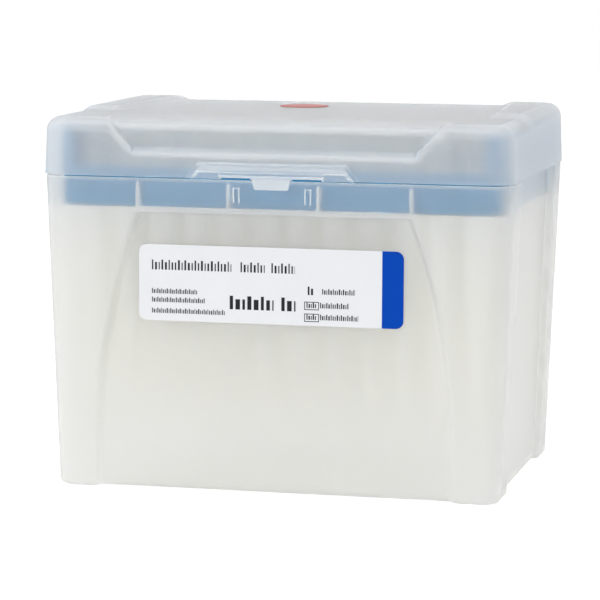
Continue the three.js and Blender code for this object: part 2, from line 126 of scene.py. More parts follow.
def makePiece(name, body, parts, material, replaced=(), sharp=40, solid=()):
    # One mesh of several closed parts, welded, in metres and in the frame's place. The attribute thick is 1
    # on the parts that are solid plastic, not a wall.
    points, faces, first = [], [], 0
    for partPoints, partFaces in parts:
        points.append(partPoints)
        faces += [f + first for f in partFaces]
        first += len(partPoints)
    thick = np.repeat([float(n in solid) for n in range(len(parts))], [len(part) for part in points])
    points = (np.concatenate(points) + (0, middleY, 0)) / 1000
    mesh = bpy.data.meshes.new(name)
    mesh.vertices.add(len(points))
    mesh.vertices.foreach_set("co", points.astype(np.float32).ravel())
    sizes = np.concatenate([np.full(len(f), f.shape[1]) for f in faces])
    mesh.loops.add(int(sizes.sum()))
    mesh.loops.foreach_set("vertex_index", np.concatenate([f.ravel() for f in faces]).astype(np.int32))
    mesh.polygons.add(len(sizes))
    mesh.polygons.foreach_set("loop_start", (np.cumsum(sizes) - sizes).astype(np.int32))
    mesh.attributes.new("thick", "FLOAT", "POINT").data.foreach_set("value", thick.astype(np.float32))
    mesh.update(calc_edges=True)
    mesh.validate()
    weld(mesh)
    mesh.polygons.foreach_set("use_smooth", np.ones(len(mesh.polygons), bool))
    mesh.set_sharp_from_angle(angle=np.radians(sharp))
    mesh.materials.append(material)
    piece = bpy.data.objects.new(name, mesh)
    bpy.context.scene.collection.objects.link(piece)
    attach(piece, body)
    if replaced:
        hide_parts(*replaced)
    print(name, len(mesh.polygons), "faces")
    return piece


def weld(mesh):
    # Joins the points that lie on each other, at poles and where sheets meet.
    work = bmesh.new()
    work.from_mesh(mesh)
    bmesh.ops.remove_doubles(work, verts=work.verts, dist=2e-7)
    work.to_mesh(mesh)
    work.free()


def lathe(profile, sides, ribs=None):
    # A closed loop of (radius, height) turned about the upright axis. Where a row has a third value, ribs
    # scales its radius by the angle.
    profile = np.asarray(profile, float)
    angle = np.arange(sides) * 2 * np.pi / sides
    scale = np.ones((1, sides)) if ribs is None else ribs(angle)[None] ** profile[:, 2:3]
    radius = profile[:, :1] * scale
    height = np.repeat(profile[:, 1:2], sides, 1)
    points = np.stack([radius * np.cos(angle), radius * np.sin(angle), height], -1)
    points = np.concatenate([points, points[:1]])
    return closedPart(points, gridFaces(len(points), sides))


def prism(outline, x0, x1):
    # A (y, z) outline carried along x, with its two ends closed.
    outline = np.asarray(outline, float)
    count = len(outline)
    ends = [np.column_stack([np.full(count, x), outline]) for x in (x0, x1)]
    caps = np.array([np.arange(count), np.arange(count)[::-1] + count])
    return closedPart(np.concatenate(ends), gridFaces(2, count), caps)


def plate(outline, y0, y1):
    # An (x, z) outline carried along y, with its two ends closed.
    points, faces = prism(outline, y0, y1)
    return closedPart(points[:, [1, 0, 2]], *faces)


def band(path, width, y0, y1):
    # A flat strip that follows a path of (x, z) corners: at each corner the two sides stand off along the
    # mitre, and the strip reaches from y0 to y1.
    path = np.asarray(path, float)
    run = np.diff(path, axis=0)
    run /= np.linalg.norm(run, axis=1, keepdims=True)
    normal = np.column_stack([-run[:, 1], run[:, 0]])
    before, after = np.vstack([normal[:1], normal]), np.vstack([normal, normal[-1:]])
    mitre = (before + after) / (1 + np.sum(before * after, axis=1, keepdims=True))
    left, right = path + mitre * width / 2, path - mitre * width / 2
    corners = ((left, y0), (right, y0), (right, y1), (left, y1))
    points = np.stack([np.insert(side, 1, y, axis=1) for side, y in corners], 1)
    caps = np.array([np.arange(4)[::-1], np.arange(4) + (len(path) - 1) * 4])
    return closedPart(points, gridFaces(len(path), 4), caps)


def arc(y, z, radius, start, end, steps):
    # Points of a circle about (y, z), from one angle to another in degrees.
    angle = np.radians(np.linspace(start, end, steps + 1))
    return np.column_stack([y + radius * np.cos(angle), z + radius * np.sin(angle)])


def mirrorX(part):
    # The part on the other side of x = 0, with its faces turned round so that they still point outwards.
    points, faces = part
    return points * (-1, 1, 1), [f[:, ::-1] for f in faces]


def mirrorQuarter(x, y):
    # The outline from the middle of the front to the middle of the right end, mirrored to all round.
    back = (slice(None), slice(-2, None, -1))
    halfX = np.concatenate([x, x[back]], 1)
    halfY = np.concatenate([y, -y[back]], 1)
    inner = (slice(None), slice(-2, 0, -1))
    return np.concatenate([halfX, -halfX[inner]], 1), np.concatenate([halfY, halfY[inner]], 1)


def shrink(x, y, share, keep):
    # Draws an outline towards the middle line, which runs keep to each side of the middle.
    middle = np.clip(x, -keep, keep)
    return middle + (x - middle) * share, y * share


# Materials. Sizes of grain and clouds and depths of bumps are in millimetres.

plasticIndex = 1.49  # index of refraction of polypropylene
filmIndex = 1.5  # and of films, papers and polyethylene


def toLinear(hexColour):
    # sRGB hex to linear values, by the sRGB curve.
    value = np.array([int(hexColour[i:i + 2], 16) for i in (1, 3, 5)]) / 255
    linear = np.where(value <= 0.04045, value / 12.92, ((value + 0.055) / 1.055) ** 2.4)
    return (*linear.tolist(), 1.0)


def addNode(tree, kind, inputs=None, **settings):
    # Adds a node; settings are its attributes, inputs its socket values or the sockets to link from.
    node = tree.nodes.new(kind)
    for key, value in settings.items():
        setattr(node, key, value)
    for key, value in (inputs or {}).items():
        if isinstance(value, bpy.types.NodeSocket):
            tree.links.new(value, node.inputs[key])
        else:
            node.inputs[key].default_value = value
    return node


def newMaterial(name):
    # A new material, its node tree, and the place on the object that its patterns read.
    material = bpy.data.materials.new(name)
    material.use_nodes = True
    tree = material.node_tree
    tree.nodes.clear()
    return material, tree, addNode(tree, "ShaderNodeTexCoord").outputs["Object"]


def finishMaterial(tree, shader):
    addNode(tree, "ShaderNodeOutputMaterial", {"Surface": shader})


def addNoise(tree, place, size, detail=2.0):
    inputs = {"Vector": place, "Scale": 1000 / size, "Detail": detail}
    return addNode(tree, "ShaderNodeTexNoise", inputs).outputs["Fac"]


def addBump(tree, height, strength, depth, **settings):
    inputs = {"Height": height, "Strength": strength, "Distance": depth / 1000}
    return addNode(tree, "ShaderNodeBump", inputs, **settings).outputs["Normal"]


def addRange(tree, value, low, high):
    inputs = {"Value": value, "To Min": low, "To Max": high}
    return addNode(tree, "ShaderNodeMapRange", inputs).outputs["Result"]


def addBlend(tree, share, first, second):
    # Two hex colours, blended by a pattern.
    inputs = {"Factor": share, 6: toLinear(first), 7: toLinear(second)}
    return addNode(tree, "ShaderNodeMix", inputs, data_type="RGBA").outputs[2]


def addMix(tree, share, first, second):
    return addNode(tree, "ShaderNodeMixShader", {"Fac": share, 1: first, 2: second}).outputs[0]


def makeNaturalShell(name, look):
    # Natural polypropylene, injection moulded in a finely etched mould. Part of the light goes straight
    # through with a slight blur, and the rest is scattered in the milky wall, more so in solid webs and tabs
    # and, on the base, below the ledge. The skin has a satin gloss.
    material, tree, place = newMaterial(name)

    def byHeight(ends):
        # One value below the ledge and one above it, or the value itself where both are the same.
        if ends[0] == ends[1]:
            return ends[0]
        height = addNode(tree, "ShaderNodeSeparateXYZ", {"Vector": place}).outputs["Z"]
        ledge = {"From Min": look["ledge"][0] / 1000, "From Max": look["ledge"][1] / 1000}
        span = {"Value": height, **ledge, "To Min": ends[0], "To Max": ends[1]}
        return addNode(tree, "ShaderNodeMapRange", span).outputs["Result"]

    colour = toLinear(look["colour"])
    thick = addNode(tree, "ShaderNodeAttribute", attribute_name="thick").outputs["Fac"]
    # The milky share is also raised along convex edges, partly as a painted highlight.
    milky = addRange(tree, thick, look["wallMilk"], look["solidMilk"])
    normal = addBump(tree, addNoise(tree, place, look["grain"]), look["etch"], look["bump"])
    clear = addNode(tree, "ShaderNodeBsdfPrincipled", {
        "Base Color": colour, "Roughness": byHeight(look["roughness"]), "IOR": plasticIndex,
        "Transmission Weight": byHeight(look["clear"]), "Coat Weight": look["gloss"],
        "Coat Roughness": look["glossRoughness"], "Normal": normal})
    inside = addNode(tree, "ShaderNodeBsdfTranslucent", {"Color": colour, "Normal": normal})
    outside = addNode(tree, "ShaderNodeBsdfDiffuse", {"Color": colour, "Normal": normal})
    milk = addMix(tree, look["back"], inside.outputs[0], outside.outputs[0])
    finishMaterial(tree, addMix(tree, milky, clear.outputs[0], milk))
    return material


def makeBlueRack():
    # Blue pigmented polypropylene, injection moulded: satin, with faint clouds where the pigment flowed and
    # the fine grain of the mould.
    look = {
        "blue": "#188dbf", "deep": "#1484b8", "cloud": 14, "roughness": (0.36, 0.46), "grain": 0.4,
        "etch": 0.25, "bump": 0.003}
    material, tree, place = newMaterial("blue polypropylene, moulded")
    colour = addBlend(tree, addNoise(tree, place, look["cloud"]), look["blue"], look["deep"])
    grain = addNoise(tree, place, look["grain"])
    shader = addNode(tree, "ShaderNodeBsdfPrincipled", {
        "Base Color": colour, "Roughness": addRange(tree, grain, *look["roughness"]), "IOR": plasticIndex,
        "Normal": addBump(tree, grain, look["etch"], look["bump"])})
    finishMaterial(tree, shader.outputs["BSDF"])
    return material


def makeTipPlastic():
    # Natural polypropylene in a polished mould, half a millimetre thick: milky with a trace of yellow. The
    # collar above the rack holds no filter, so more of what is behind it shows.
    look = {
        "colour": "#fefdf6", "through": 0.05, "flow": 3, "roughness": (0.2, 0.32),
        "collar": "#fbfdff", "collarClear": 0.9, "collarRoughness": 0.12, "fade": 1}
    material, tree, place = newMaterial("natural polypropylene, polished")
    height = addNode(tree, "ShaderNodeSeparateXYZ", {"Vector": place}).outputs["Z"]
    aboveDeck = addNode(tree, "ShaderNodeMapRange", {
        "Value": height, "From Min": (deckZ - look["fade"]) / 1000, "From Max": (deckZ + look["fade"]) / 1000,
        "To Max": look["collarClear"]}).outputs["Result"]
    flow = addNoise(tree, place, look["flow"], 1.0)
    skin = addNode(tree, "ShaderNodeBsdfPrincipled", {
        "Base Color": toLinear(look["colour"]), "Roughness": addRange(tree, flow, *look["roughness"]),
        "IOR": plasticIndex})
    milk = addNode(tree, "ShaderNodeBsdfTranslucent", {"Color": toLinear(look["colour"])})
    clear = addNode(tree, "ShaderNodeBsdfPrincipled", {
        "Base Color": toLinear(look["collar"]), "Roughness": look["collarRoughness"], "IOR": plasticIndex,
        "Transmission Weight": 1.0})
    body = addMix(tree, look["through"], skin.outputs[0], milk.outputs[0])
    finishMaterial(tree, addMix(tree, aboveDeck, body, clear.outputs[0]))
    return material


def makeFilterPlug():
    # Sintered polyethylene beads: white, dull and open-pored, with the beads as a fine cellular bump.
    look = {"bead": "#fbfaf5", "poreShade": "#e9e7df", "size": 0.25, "relief": 0.5, "bump": 0.03, "roughness": 0.9}
    material, tree, place = newMaterial("sintered polyethylene")
    beads = addNode(tree, "ShaderNodeTexVoronoi", {"Vector": place, "Scale": 1000 / look["size"]})
    pores = beads.outputs["Distance"]
    shader = addNode(tree, "ShaderNodeBsdfPrincipled", {
        # Painted shade: the pores between the beads are given a darker colour.
        "Base Color": addBlend(tree, pores, look["bead"], look["poreShade"]), "Roughness": look["roughness"],
        "IOR": filmIndex, "Normal": addBump(tree, pores, look["relief"], look["bump"], invert=True)})
    finishMaterial(tree, shader.outputs["BSDF"])
    return material


def makeLabelFilm():
    # Polyester film with a satin laminate, to be printed: white and very slightly uneven, as film on a
    # moulded wall is.
    look = {
        "white": "#f3f4f7", "shade": "#edeff3", "cloud": 9, "grain": 0.35, "relief": 0.2, "bump": 0.004,
        "roughness": 0.35}
    material, tree, place = newMaterial("polyester film, laminated")
    colour = addBlend(tree, addNoise(tree, place, look["cloud"], 1.0), look["white"], look["shade"])
    grain = addNoise(tree, place, look["grain"])
    shader = addNode(tree, "ShaderNodeBsdfPrincipled", {
        "Base Color": colour, "Roughness": look["roughness"], "IOR": filmIndex,
        "Normal": addBump(tree, grain, look["relief"], look["bump"])})
    finishMaterial(tree, shader.outputs["BSDF"])
    return material


def makeInk(name, colour):
    # Flexographic ink under the laminate: flat and even, with only a trace of shine.
    look = {"speck": 0.25, "roughness": (0.3, 0.45), "shine": 0.06}
    material, tree, place = newMaterial(name)
    speck = addNoise(tree, place, look["speck"], 1.0)
    shader = addNode(tree, "ShaderNodeBsdfPrincipled", {
        "Base Color": toLinear(colour), "Roughness": addRange(tree, speck, *look["roughness"]),
        "IOR": filmIndex, "Specular IOR Level": look["shine"]})
    finishMaterial(tree, shader.outputs["BSDF"])
    return material


def makeDotFilm():
    # Indicator paper: a dull salmon ink that sinks unevenly into the fibres.
    look = {"ink": "#bc6a66", "pale": "#cd8a86", "fibre": 0.5, "roughness": 0.55}
    material, tree, place = newMaterial("indicator paper, printed")
    colour = addBlend(tree, addNoise(tree, place, look["fibre"], 3.0), look["ink"], look["pale"])
    shader = addNode(tree, "ShaderNodeBsdfPrincipled", {
        "Base Color": colour, "Roughness": look["roughness"], "IOR": filmIndex})
    finishMaterial(tree, shader.outputs["BSDF"])
    return material


baseLook = {
    "colour": "#fefefd", "ledge": (72.3, 72.7), "roughness": (0.36, 0.38), "clear": (0.68, 0.95),
    "wallMilk": 0.06, "solidMilk": 0.85, "back": 0.4, "gloss": 0.7, "glossRoughness": 0.2,
    "grain": 0.45, "etch": 0.25, "bump": 0.003}
lidLook = {**baseLook, "colour": "#fcfdfe", "roughness": (0.4, 0.4), "clear": (0.95, 0.95), "wallMilk": 0.2}
basePlastic = makeNaturalShell("natural polypropylene, fine etch", baseLook)
lidPlastic = makeNaturalShell("natural polypropylene, coarse etch", lidLook)
rackPlastic = makeBlueRack()
tipPlastic = makeTipPlastic()
filterPlastic = makeFilterPlug()
labelFilm = makeLabelFilm()
dotFilm = makeDotFilm()
greyInk = makeInk("dark grey ink", "#2e2f33")
blueInk = makeInk("blue ink", "#0448b8")
print("materials made")


def readPoints(mesh, name):
    # Places or normals of a mesh's points, as rows of three.
    values = np.empty(len(mesh.vertices) * 3)
    mesh.vertices.foreach_get(name, values)
    return values.reshape(-1, 3)


def readThick(mesh):
    thick = np.empty(len(mesh.vertices))
    mesh.attributes["thick"].data.foreach_get("value", thick)
    return thick


def writeThick(mesh, thick):
    mesh.attributes["thick"].data.foreach_set("value", thick.astype(np.float32))


whiter = {
    "ends": 0.35, "endFrom": 0.75, "endSpan": 0.2, "endFoot": rackLow[2], "lidFoot": 0.4, "shortest": 0.1}


def whitenEdgesAsHighlight(mesh, middle, bulge, share):
    # Edges look whiter, partly since more plastic lies behind them and partly as a painted highlight: the
    # turn
    #     # of the normal along each edge of the mesh, per millimetre, raises thick at its two ends wherever
    #     the outer
    #     # skin bulges. End walls above the ledge are whiter all over, and the lid's lower edge is left as
    #     clear as it was.
    place, normal = readPoints(mesh, "co"), readPoints(mesh, "normal")
    ends = np.empty(len(mesh.edges) * 2, int)
    mesh.edges.foreach_get("vertices", ends)
    ends = ends.reshape(-1, 2)
    run = np.diff(place[ends] * 1000, axis=1)[:, 0]
    turn = np.diff(normal[ends], axis=1)[:, 0]
    squared = np.maximum(np.sum(run * run, axis=1), whiter["shortest"] ** 2)
    bend = np.sum(run * turn, axis=1) / squared
    edge = np.zeros(len(place))
    np.maximum.at(edge, ends.ravel(), np.repeat(bend, 2))
    outward = np.sum(normal * (place - (0, middleY / 1000, middle / 1000)), axis=1) > 0
    before = readThick(mesh)
    thick = np.maximum(before, outward * share * smooth((edge - bulge[0]) / (bulge[1] - bulge[0])))
    across, up = np.abs(normal[:, 0]), place[:, 2] * 1000
    thick = np.where(np.abs(up - lidFoot) < whiter["lidFoot"], np.minimum(thick, before), thick)
    endMilk = whiter["ends"] * smooth((across - whiter["endFrom"]) / whiter["endSpan"])
    writeThick(mesh, np.maximum(thick, endMilk * (up > whiter["endFoot"])))


# Base: foot, leaning walls, arched panel in front and behind, sunk end panels, ledge and rim.
base = {
    "footHalf": (57.55, 40.7), "footRadius": 5, "rimRadius": 6, "footRound": 1.6, "floorLift": 0.6,
    "stripInner": 44.6, "stripSlope": 3.1, "keep": 16, "panelY": 40.0, "archFoot": 47.2, "archLean": 11.2,
    "archPower": 2.5, "archSlope": 2.4, "archTop": 71.3, "archInside": 0.6, "lip": 0.25, "shelf": rackLow[2],
    "underShelf": 0.6, "endDepth": 2.1, "endLean": 2.5, "endHalf": 26.5, "endSlope": 1.0, "slot": 0.5,
    "rimRound": 0.4, "rimInside": 0.6, "floorBend": 2.0, "outsideRows": (71.9, 72.1, 73, 75, 77, 79),
    "insideRows": (79, 77, 75, 73), "middle": 40, "bulge": (0.1, 0.6), "whiter": 0.55,
    "solidLedge": {"height": 71.9, "half": 0.5, "x": 36.2, "y": 38, "milk": 0.8},
}
# Columns along each stretch of a quarter of the outline, from the middle of the front to that of the end.
baseSteps = {
    "panel": 10, "archSlope": 8, "column": 7, "corner": 12, "side": 5, "endSlope": 6, "slot": 4, "end": 8}


def baseOutline(z, inward, recess):
    # The skin at each height z, moved inwards: straight leaning sides and round corners, with the arched
    # panel of the front sunk to a flat plane as far as recess says, and the end panels sunk all the way up.
    z, inward, recess = [np.asarray(a, float)[:, None] for a in (z, inward, recess)]
    rise = z / rimZ
    radius = base["footRadius"] + (base["rimRadius"] - base["footRadius"]) * rise - inward
    halfX = base["footHalf"][0] + (rimHalf[0] - base["footHalf"][0]) * rise - inward
    halfY = base["footHalf"][1] + (rimHalf[1] - base["footHalf"][1]) * rise - inward
    inside = np.clip(inward, 0, wall)
    shift = base["archInside"] * inside
    climb = np.clip(z / base["archTop"], 0, 1)
    outer = base["archFoot"] - base["archLean"] * climb ** base["archPower"] + shift
    inner = outer - base["archSlope"]
    straightX, straightY = halfX - radius, halfY - radius
    sunkY = recess * np.maximum(0, halfY - base["panelY"] + inside)
    panelX = rimHalf[0] - base["endDepth"] - base["endLean"] * (1 - rise) - inside
    sunkX = np.maximum(0, halfX - panelX)
    half = base["endHalf"] + shift
    edge = half + base["endSlope"]

    def steps(stretch):
        return np.linspace(0, 1, baseSteps[stretch] + 1)[None, :-1]

    x, y = [], []

    def add(alongX, alongY):
        x.append(alongX + np.zeros_like(alongY))
        y.append(alongY + np.zeros_like(alongX))

    t = steps("panel")
    add(inner * t, -(halfY - sunkY))
    t = steps("archSlope")
    add(inner + (outer - inner) * t, -(halfY - sunkY * (1 - smooth(t))))
    t = steps("column")
    add(outer + (straightX - outer) * t, -halfY)
    t = steps("corner") * np.pi / 2
    add(straightX + radius * np.sin(t), -straightY - radius * np.cos(t))
    t = steps("side")
    add(halfX, -(straightY + (edge - straightY) * t))
    t = steps("endSlope")
    add(halfX - sunkX * smooth(t), -(edge + (half - edge) * t))
    add(halfX - sunkX, -(half - np.array([[0, 0, 1, 1]]) * base["slot"]))
    t = np.linspace(0, 1, baseSteps["end"] + 1)[None, 1:]
    add(halfX - sunkX, -(half - base["slot"]) * (1 - t))
    return mirrorQuarter(np.concatenate(x, 1), np.concatenate(y, 1))


def slotColumns():
    # Marks the two columns inside each slot. The slots free the top of an end panel as a tongue.
    stretches = list(baseSteps.values())
    first = sum(stretches[:6]) + 1
    quarter = np.zeros(sum(stretches), bool)
    quarter[first:first + 2] = True
    half = np.concatenate([quarter, quarter[-2::-1]])
    return np.concatenate([half, half[-2:0:-1]])


def makeBaseShell():
    # One closed skin: from the middle of the underside out to the foot, up outside, over the rim, down
    # inside and back to the middle of the floor. Each row is (height, how far inside the skin, how far the
    # front panel is sunk), and is an outline all round at that height.
    foot, bend, lip = base["footRound"], base["floorBend"], base["lip"]
    top, shelf = base["archTop"], base["shelf"]
    footTurn = np.radians(np.linspace(0, 90, 7))
    rimTurn = np.radians([0, 30, 60, 90])
    rows = [(foot * (1 - np.cos(a)), foot * (1 - np.sin(a)), 1) for a in footTurn]
    rows += [(z, 0, 1) for z in np.linspace(foot, top - 2 * lip, 40)[1:]]
    rows += [(top - lip, 0, 1), (top, 0, 0.9), (top, 0, 0.1), (top + lip, 0, 0)]
    rows += [(z, 0, 0) for z in base["outsideRows"]]
    edge = base["rimRound"]
    rows += [(rimZ - edge + edge * np.sin(a), edge * (1 - np.cos(a)), 0) for a in rimTurn]
    edge = base["rimInside"]
    rows += [(rimZ - edge + edge * np.sin(a), wall - edge * (1 - np.cos(a)), 0) for a in rimTurn[::-1]]
    rows += [(z, wall, 0) for z in base["insideRows"]]
    rows += [(shelf + lip, wall, 0), (shelf, wall, 0.1), (shelf, wall, 0.9), (shelf - lip, wall, 1)]
    floor = base["floorLift"] + wall
    rows += [(z, wall, 1) for z in np.linspace(shelf - base["underShelf"], floor + bend, 34)]
    floorTurn = np.radians(np.linspace(0, 90, 7)[1:])
    rows += [(floor + bend * (1 - np.sin(a)), wall + bend * (1 - np.cos(a)), 1) for a in floorTurn]
    z, inward, recess = np.array(rows).T
    x, y = baseOutline(z, inward, recess)
    z = np.repeat(z[:, None], x.shape[1], 1)
    slotted = slotColumns()
    z[:, slotted] = np.minimum(z[:, slotted], shelf)
    fan = 13  # rings from the middle line out to the foot
    under = [shrink(x[0], y[0], share, base["keep"]) for share in np.linspace(0, 1, fan + 1)[:-1]]
    above = [shrink(x[-1], y[-1], share, base["keep"]) for share in np.linspace(1, 0, fan + 1)[1:]]
    x = np.concatenate([[a[0] for a in under], x, [a[0] for a in above]])
    y = np.concatenate([[a[1] for a in under], y, [a[1] for a in above]])
    count = x.shape[1]
    z = np.concatenate([np.zeros((fan, count)), z, np.full((fan, count), floor)])
    ramp = (base["stripInner"] + base["stripSlope"] - np.abs(x)) / base["stripSlope"]
    lift = base["floorLift"] * np.clip(ramp, 0, 1)
    underside = np.arange(len(x))[:, None] < fan + len(footTurn)
    z = np.where(underside, np.maximum(z, lift), z)
    return closedPart(np.stack([x, y, z], -1), gridFaces(len(x), count))


trim = {
    "webPlaces": (11.6, 35.2), "webWidth": 0.75, "webFoot": 72.3, "webTop": 78.8, "webSlope": 0.5,
    "webSunk": 0.3, "webInner": 39.75, "staple": 9.2, "stapleHalf": 0.7, "stapleLine": 0.3, "stapleTop": 78.0,
    "stapleFoot": 74.3, "stapleProud": 0.25, "stapleSunk": 0.1, "hinge": 30, "pin": 1.2, "pinHalf": 6.4,
    "ear": 2.5, "earWide": 2.2, "earPlaces": (-7.5, 5.3), "earRoot": 42.25, "earFoot": 73.5,
}


def makeBaseTrim():
    # Webs between rim and rack, staples on the rim, and the hinge ears with their pins. Also tells which
    # parts are solid plastic and so look milky.
    parts = []
    for side in (-1, 1):
        for place in trim["webPlaces"]:
            for face in (-1, 1):
                outer, inner = face * (rimHalf[1] - wall + trim["webSunk"]), face * trim["webInner"]
                foot, top, half = trim["webFoot"], trim["webTop"], trim["webWidth"] / 2
                outline = [(outer, foot), (inner, foot), (inner, top - trim["webSlope"]),
                           ((outer + inner) / 2, top), (outer, top)]
                parts.append(prism(outline, side * place - half, side * place + half))
        left, right = side * trim["staple"] - trim["stapleHalf"], side * trim["staple"] + trim["stapleHalf"]
        foot, top = trim["stapleFoot"], trim["stapleTop"]
        path = [(left, foot), (left, top), (right, top), (right, foot)]
        front, back = -rimHalf[1] - trim["stapleProud"], -rimHalf[1] + trim["stapleSunk"]
        parts.append(band(path, trim["stapleLine"], front, back))
    solid = range(1, len(parts) + 1)
    root = [(trim["earRoot"], rimZ), (trim["earRoot"], trim["earFoot"])]
    ear = np.concatenate([root, arc(hingeY, hingeZ, trim["ear"], -60, 180, 20)])
    pin = arc(hingeY, hingeZ, trim["pin"], 0, 345, 23)
    for middle in (-trim["hinge"], trim["hinge"]):
        parts += [prism(ear, middle + x, middle + x + trim["earWide"]) for x in trim["earPlaces"]]
        parts.append(prism(pin, middle - trim["pinHalf"], middle + trim["pinHalf"]))
    return parts, solid


def thickenLedge(mesh, ledge):
    # The ledge over the arched panel is solid plastic, so it is milky where the wall is clearer.
    x, y, z = readPoints(mesh, "co").T * 1000
    level = (np.abs(z - ledge["height"]) < ledge["half"]) & (np.abs(x) < ledge["x"])
    milk = ledge["milk"] * (level & (np.abs(y - middleY) > ledge["y"]))
    writeThick(mesh, np.maximum(readThick(mesh), milk))


baseTrim, baseSolid = makeBaseTrim()
baseShell = makePiece("base_shell", "box_base", [makeBaseShell(), *baseTrim], basePlastic,
                      ["base"], solid=baseSolid)
thickenLedge(baseShell.data, base["solidLedge"])
whitenEdgesAsHighlight(baseShell.data, base["middle"], base["bulge"], base["whiter"])

# Lid: heights are counted from its lower edge.
lid = {
    "lean": 0.4, "height": 14.6, "round": 3.8, "radius": 6.3, "keep": 50, "sill": 7.5, "sillSlope": 1.5,
    "brow": 13.4, "browRound": 0.9, "windowY": 41.5, "windowFoot": 36.2, "windowSpread": 0.84,
    "windowInside": 0.8, "jambFoot": 0.8, "jambHead": 2.6, "scoopLength": 13.4, "scoopSpread": 2.0,
    "scoopSoft": 0.12, "padRise": 1.0, "padInner": 43.15, "padRamp": 3.5, "padTaper": 4.5,
    "taperFrom": -8, "taperTo": lidHalf[1] + 2, "padFrom": -16, "padTo": -7, "ridges": (0.9, 1.8, 3.1),
    "ridgeStep": 0.3, "stepHalf": 0.12, "ridgeHalf": 21, "plateHalf": 22.3, "plateTop": 4.0, "taper": 0.82,
    "pocket": (13.5, 20, 1.7, 0.6), "grip": (5.25, 13, 0.35), "middle": 84, "bulge": (0.06, 0.55),
    "whiter": 1.0, "insideRows": (0.0, 0.2, 0.35, 0.5, 1.5, 2.5, 3.5),
    "outsideRows": (0.0, 0.2, 0.35, 0.55, 0.78, 1.04, 1.35, 1.62, 1.72, 1.95, 2.4, 2.97, 3.25, 3.6, 3.87,
                    4.15, 4.6, 5.2),
}


def padMask(x, y):
    # How far the raised ends reach at a place: a ramp along x, which starts further out at the front.
    start = lid["padInner"] + lid["padTaper"] * (lid["taperTo"] - y) / (lid["taperTo"] - lid["taperFrom"])
    along = (y - lid["padFrom"]) / (lid["padTo"] - lid["padFrom"])
    return smooth((np.abs(x) - start) / lid["padRamp"]) * smooth(along)


def topHeight(x, y):
    # Height of the lid's top over its lower edge: flat, sunk by the scoop in front, raised at the ends.
    # The scoop rises from the brow as a parabola, and joins the flat top with a soft step.
    brow, flat, length = lid["brow"], lid["height"], lid["scoopLength"]
    behind = np.clip((y + lid["windowY"]) / length, -0.2, 1)
    back = brow + (flat - brow) * (1 - (1 - behind) * np.abs(1 - behind))
    back = np.where(y + lid["windowY"] > length, flat + 1, back)
    across = lid["windowFoot"] + (brow - lid["sill"]) * lid["windowSpread"]
    side = brow + (np.abs(x) - across) / lid["scoopSpread"]
    scoop = np.maximum(back, side)
    soft = lid["scoopSoft"]
    blend = np.clip(0.5 + 0.5 * (scoop - flat) / soft, 0, 1)
    scoop = flat * blend + scoop * (1 - blend) - soft * blend * (1 - blend)
    return scoop + lid["padRise"] * padMask(x, y)


def latchRelief(x, h):
    # How far the latch stands proud at a place on the front: a plate, three ridges on it, two pockets.
    x = np.abs(x)
    slant = lid["taper"] * h
    step = lid["ridgeStep"]
    relief = step * ((x < lid["plateHalf"] - slant) & (h < lid["plateTop"]))
    for height in lid["ridges"]:
        relief = relief + step * ((x < lid["ridgeHalf"] - slant) & (h < height))
    inner, outer, top, level = lid["pocket"]
    return np.where((x > inner) & (x < outer - slant) & (h < top), level, relief)


